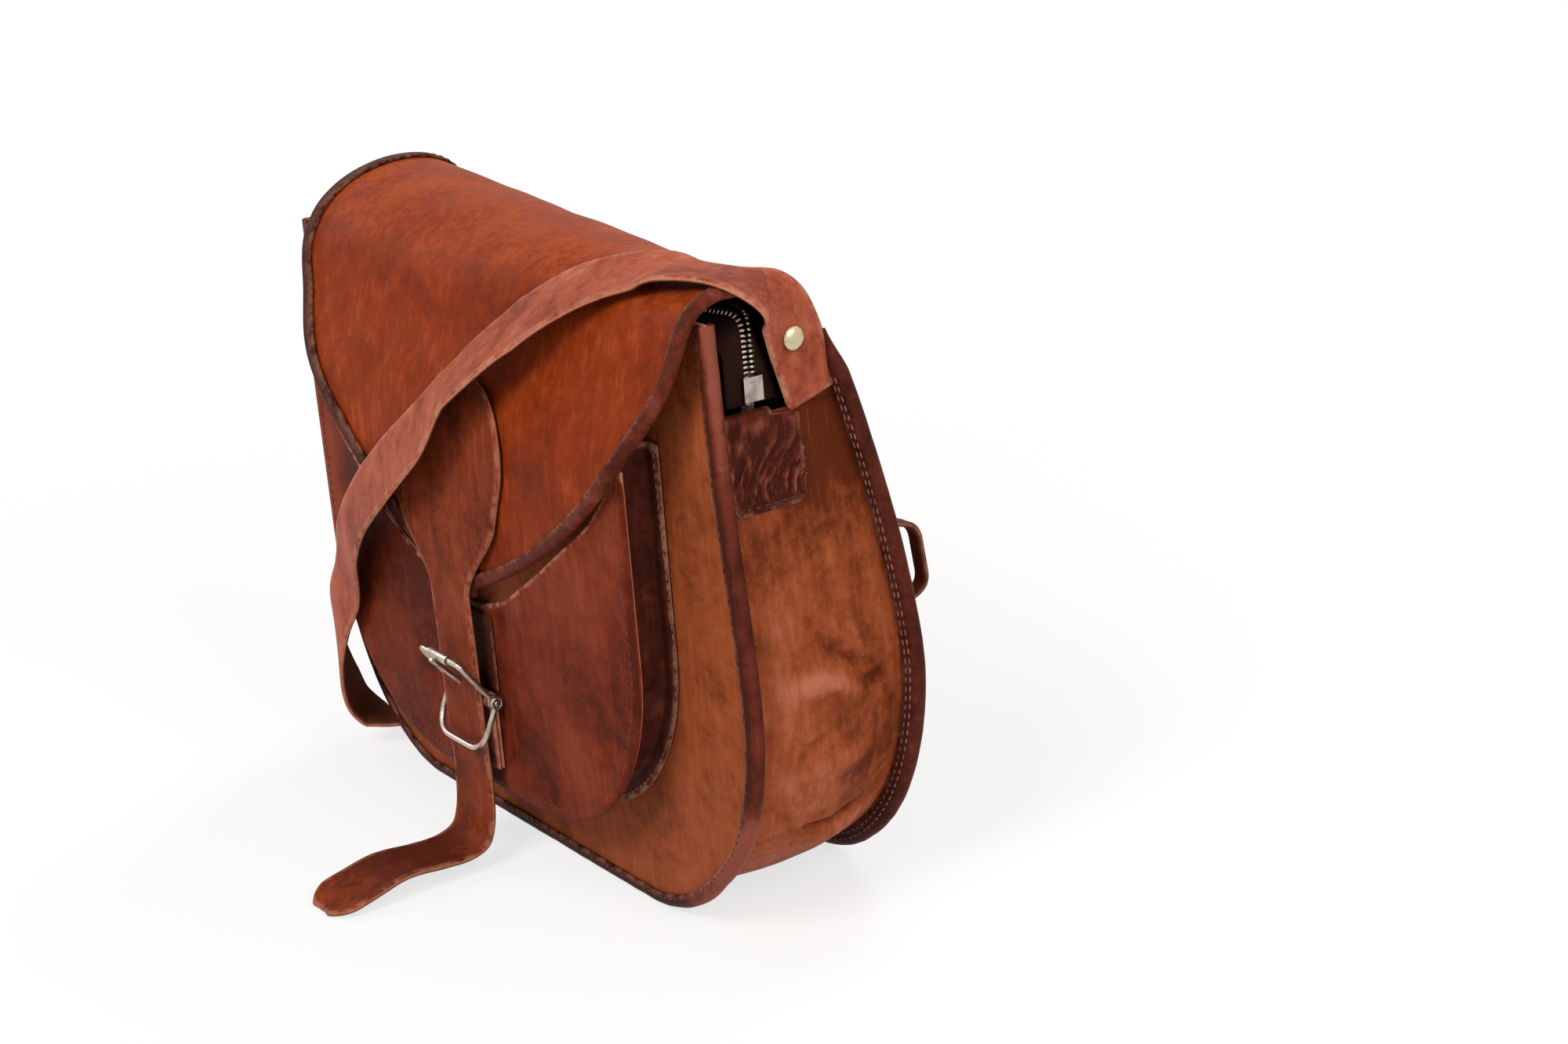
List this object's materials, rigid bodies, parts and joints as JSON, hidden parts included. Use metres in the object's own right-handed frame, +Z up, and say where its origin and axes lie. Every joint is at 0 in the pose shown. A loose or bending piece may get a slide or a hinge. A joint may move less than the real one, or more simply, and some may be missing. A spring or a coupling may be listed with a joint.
{
  "type": "leather satchel",
  "caption": "Soft leather satchel with a bound flap, a front pocket, a strap and buckle closure, a zipped mouth and a riveted shoulder strap.",
  "frame": {"origin": "on the floor, in the bottom face of the front bound edge, under the middle of the front panel's outer face", "axes": "+X to the end of the bag where the zip slider is parked, +Y from the front panel to the back, +Z up"},
  "size_m": [0.3991, 0.2401, 0.3179],
  "materials": {
    "panel_leather": "worn semi-gloss brown leather",
    "gusset_leather": "worn semi-gloss tan-brown leather with creases",
    "flap_leather": "mottled orange-brown leather",
    "binding_leather": "dark brown stitched leather strip",
    "pocket_leather": "reddish brown leather",
    "strap_leather": "brown strap leather with pale worn edges",
    "zip_tape": "dark woven tape",
    "nickel": "aged nickel-plated wire",
    "aged_brass": "aged brass"
  },
  "bodies": {
    "bag": {"front_panel": "panel_leather", "back_panel": "gusset_leather", "gusset": "gusset_leather", "front_binding": "binding_leather", "back_binding": "binding_leather", "pocket_front": "pocket_leather", "pocket_gusset": "binding_leather", "buckle_chape": "strap_leather", "buckle_bar": "nickel", "strap_rivet_right": "aged_brass", "strap_rivet_left": "aged_brass", "rivet_burr_right": "aged_brass", "rivet_burr_left": "aged_brass", "zip_tape_front": "zip_tape", "zip_tape_back": "zip_tape", "zip_teeth_front": "aged_brass", "zip_teeth_back": "aged_brass", "zip_end_tab_right": "binding_leather", "zip_end_tab_left": "binding_leather", "back_loop_right": "strap_leather", "back_loop_left": "strap_leather"},
    "flap": {"flap": "flap_leather", "flap_binding": "binding_leather", "closure_strap": "strap_leather"},
    "shoulder_strap": {"shoulder_strap": "strap_leather"},
    "buckle_frame": {"buckle_frame": "nickel"},
    "buckle_roller": {"buckle_roller": "nickel"},
    "buckle_prong": {"buckle_prong": "nickel"},
    "buckle_keeper": {"buckle_keeper": "nickel"},
    "zip_slider": {"zip_slider": "nickel"},
    "zip_pull": {"zip_pull": "nickel"}
  },
  "joints": [
    {"name": "flap_open", "type": "hinge", "parent": "bag", "child": "flap", "pos_m": [0, 0.082, 0.262], "axis": [-0.9977, 0.0676, 0], "range_deg": [0, 150], "deforming": ["closure_strap", "shoulder_strap"]},
    {"name": "strap_swing", "type": "hinge", "parent": "bag", "child": "shoulder_strap", "pos_m": [0, 0.047, 0.276], "axis": [-1, 0, 0], "range_deg": [0, 110]},
    {"name": "buckle_frame_tilt", "type": "hinge", "parent": "bag", "child": "buckle_frame", "pos_m": [0, -0.0292, 0.086], "axis": [1, 0, 0], "range_deg": [0, 30]},
    {"name": "buckle_roller_spin", "type": "hinge", "parent": "buckle_frame", "child": "buckle_roller", "pos_m": [0, -0.04526, 0.10894], "axis": [1, 0, 0], "continuous": true},
    {"name": "buckle_prong_swing", "type": "hinge", "parent": "buckle_frame", "child": "buckle_prong", "pos_m": [0, -0.0292, 0.086], "axis": [1, 0, 0], "range_deg": [0, 35]},
    {"name": "buckle_keeper_swing", "type": "hinge", "parent": "bag", "child": "buckle_keeper", "pos_m": [0, -0.0292, 0.086], "axis": [-1, 0, 0], "range_deg": [0, 30]},
    {"name": "zip_slide", "type": "slide", "parent": "bag", "child": "zip_slider", "axis": [0, 0, 1], "range_m": [0, 0.01]},
    {"name": "zip_pull_swing", "type": "hinge", "parent": "zip_slider", "child": "zip_pull", "pos_m": [0.16868, 0.029, 0.25925], "axis": [0, 1, 0], "range_deg": [0, 120]}
  ]
}
